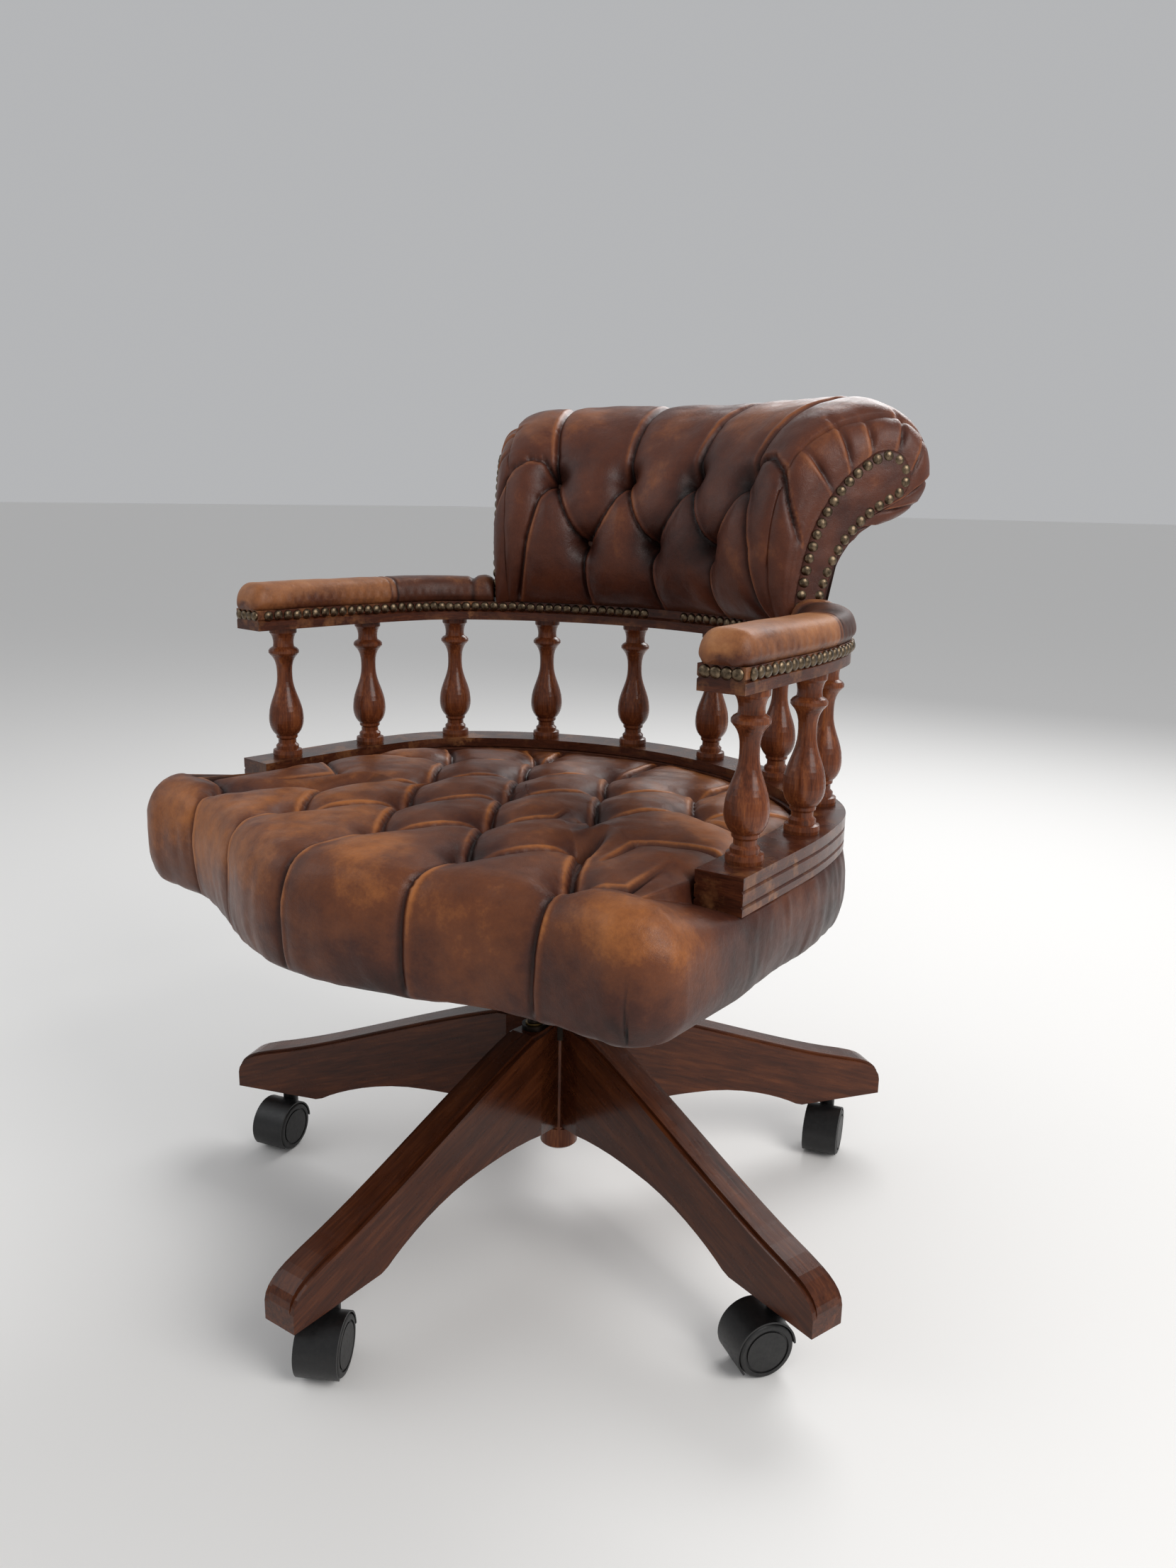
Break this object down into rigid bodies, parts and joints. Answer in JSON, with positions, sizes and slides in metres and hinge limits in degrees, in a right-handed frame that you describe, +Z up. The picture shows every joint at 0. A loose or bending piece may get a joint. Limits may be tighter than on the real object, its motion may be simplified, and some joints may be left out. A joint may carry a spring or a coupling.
{
  "type": "swivel office chair",
  "caption": "Swivel office chair with a buttoned leather seat and scrolled back, low curved arms on turned spindles and a wooden star base on casters.",
  "frame": {"origin": "on the floor, below the middle of the chair's bounding box; the swivel axis stands 6 mm to the left of it and 25 mm behind it", "axes": "+Z up, -Y towards the front of the seat, +X towards the chair's left arm as the sitter sees it"},
  "size_m": [0.7197, 0.6981, 0.8101],
  "materials": {
    "mahogany": "gloss lacquer, worn at the edges",
    "plain_wood": "raw",
    "leather": "satin, rubbed antique brown",
    "worn_leather": "satin, worn to tan",
    "antique_brass": "antique",
    "brass": "dull",
    "black_iron": "blackened",
    "steel": "satin",
    "black_plastic": "satin"
  },
  "bodies": {
    "base": {"centre_post": "mahogany", "leg_1": "mahogany", "leg_2": "mahogany", "leg_3": "mahogany", "leg_4": "mahogany", "leg_5": "mahogany", "hub_spider": "black_iron", "leg_bolts": "steel", "leg_washers": "brass", "caster_sockets": "brass"},
    "swivel_bearing": {"thrust_washer": "steel"},
    "height_nut": {"height_nut": "black_iron"},
    "screw": {"screw_spindle": "steel", "tilt_bracket": "black_iron", "tilt_pin": "steel"},
    "seat": {"seat_plate": "black_iron", "tension_rod": "steel", "tension_knob": "black_plastic", "tilt_spring": "steel", "seat_screws": "brass", "seat_board": "plain_wood", "seat_frame": "plain_wood", "seat_cushion": "leather", "seat_buttons": "leather", "lower_rail": "mahogany", "spindles": "mahogany", "upper_rail": "mahogany", "arm_pad_left": "worn_leather", "arm_pad_right": "worn_leather", "rail_nails": "antique_brass", "back_core": "plain_wood", "back_cushion": "leather", "back_end_panels": "leather", "back_buttons": "leather", "back_nails": "antique_brass"},
    "caster_1": {"caster_1_hood": "black_plastic", "caster_1_stem": "steel", "caster_1_axle": "steel"},
    "caster_1_wheel_left": {"caster_1_wheel_left": "black_plastic"},
    "caster_1_wheel_right": {"caster_1_wheel_right": "black_plastic"},
    "caster_2": {"caster_2_hood": "black_plastic", "caster_2_stem": "steel", "caster_2_axle": "steel"},
    "caster_2_wheel_left": {"caster_2_wheel_left": "black_plastic"},
    "caster_2_wheel_right": {"caster_2_wheel_right": "black_plastic"},
    "caster_3": {"caster_3_hood": "black_plastic", "caster_3_stem": "steel", "caster_3_axle": "steel"},
    "caster_3_wheel_left": {"caster_3_wheel_left": "black_plastic"},
    "caster_3_wheel_right": {"caster_3_wheel_right": "black_plastic"},
    "caster_4": {"caster_4_hood": "black_plastic", "caster_4_stem": "steel", "caster_4_axle": "steel"},
    "caster_4_wheel_left": {"caster_4_wheel_left": "black_plastic"},
    "caster_4_wheel_right": {"caster_4_wheel_right": "black_plastic"},
    "caster_5": {"caster_5_hood": "black_plastic", "caster_5_stem": "steel", "caster_5_axle": "steel"},
    "caster_5_wheel_left": {"caster_5_wheel_left": "black_plastic"},
    "caster_5_wheel_right": {"caster_5_wheel_right": "black_plastic"}
  },
  "joints": [
    {"name": "seat_swivel", "type": "hinge", "parent": "base", "child": "swivel_bearing", "pos_m": [-0.006, 0.025, 0.222], "axis": [0, 0, 1], "continuous": true},
    {"name": "seat_height", "type": "slide", "parent": "swivel_bearing", "child": "screw", "axis": [0, 0, 1], "range_m": [0, 0.08]},
    {"name": "height_nut_turn", "type": "hinge", "parent": "swivel_bearing", "child": "height_nut", "pos_m": [-0.006, 0.025, 0.23], "axis": [0, 0, 1], "range_deg": [-3600, 0]},
    {"name": "seat_tilt", "type": "hinge", "parent": "screw", "child": "seat", "pos_m": [-0.006, 0.025, 0.314], "axis": [-1, 0, 0], "range_deg": [0, 10], "stiffness_Nm_per_rad": 150, "springref_deg": -14.32, "deforming": ["tilt_spring"]},
    {"name": "caster_1_swivel", "type": "hinge", "parent": "base", "child": "caster_1", "pos_m": [0.01347, -0.29341, 0.061], "axis": [0, 0, 1], "continuous": true},
    {"name": "caster_1_left_roll", "type": "hinge", "parent": "caster_1", "child": "caster_1_wheel_left", "pos_m": [0.02301, -0.30867, 0.025], "axis": [0.848, 0.5299, 0], "continuous": true},
    {"name": "caster_1_right_roll", "type": "hinge", "parent": "caster_1", "child": "caster_1_wheel_right", "pos_m": [0.02301, -0.30867, 0.025], "axis": [0.848, 0.5299, 0], "continuous": true},
    {"name": "caster_2_swivel", "type": "hinge", "parent": "base", "child": "caster_2", "pos_m": [0.30284, -0.05487, 0.061], "axis": [0, 0, 1], "continuous": true},
    {"name": "caster_2_left_roll", "type": "hinge", "parent": "caster_2", "child": "caster_2_wheel_left", "pos_m": [0.29357, -0.0703, 0.025], "axis": [0.8572, -0.515, 0], "continuous": true},
    {"name": "caster_2_right_roll", "type": "hinge", "parent": "caster_2", "child": "caster_2_wheel_right", "pos_m": [0.29357, -0.0703, 0.025], "axis": [0.8572, -0.515, 0], "continuous": true},
    {"name": "caster_3_swivel", "type": "hinge", "parent": "base", "child": "caster_3", "pos_m": [0.1654, 0.29404, 0.061], "axis": [0, 0, 1], "continuous": true},
    {"name": "caster_3_left_roll", "type": "hinge", "parent": "caster_3", "child": "caster_3_wheel_left", "pos_m": [0.17096, 0.27692, 0.025], "axis": [0.9511, 0.309, 0], "continuous": true},
    {"name": "caster_3_right_roll", "type": "hinge", "parent": "caster_3", "child": "caster_3_wheel_right", "pos_m": [0.17096, 0.27692, 0.025], "axis": [0.9511, 0.309, 0], "continuous": true},
    {"name": "caster_4_swivel", "type": "hinge", "parent": "base", "child": "caster_4", "pos_m": [-0.20891, 0.27115, 0.061], "axis": [0, 0, 1], "continuous": true},
    {"name": "caster_4_left_roll", "type": "hinge", "parent": "caster_4", "child": "caster_4_wheel_left", "pos_m": [-0.21204, 0.25342, 0.025], "axis": [0.9848, -0.1736, 0], "continuous": true},
    {"name": "caster_4_right_roll", "type": "hinge", "parent": "caster_4", "child": "caster_4_wheel_right", "pos_m": [-0.21204, 0.25342, 0.025], "axis": [0.9848, -0.1736, 0], "continuous": true},
    {"name": "caster_5_swivel", "type": "hinge", "parent": "base", "child": "caster_5", "pos_m": [-0.3028, -0.09191, 0.061], "axis": [0, 0, 1], "continuous": true},
    {"name": "caster_5_left_roll", "type": "hinge", "parent": "caster_5", "child": "caster_5_wheel_left", "pos_m": [-0.29784, -0.10922, 0.025], "axis": [0.9613, 0.2756, 0], "continuous": true},
    {"name": "caster_5_right_roll", "type": "hinge", "parent": "caster_5", "child": "caster_5_wheel_right", "pos_m": [-0.29784, -0.10922, 0.025], "axis": [0.9613, 0.2756, 0], "continuous": true}
  ],
  "couplings": [
    {"joint": "height_nut_turn", "follows": "seat_height", "rad_per_m": -785.4}
  ]
}
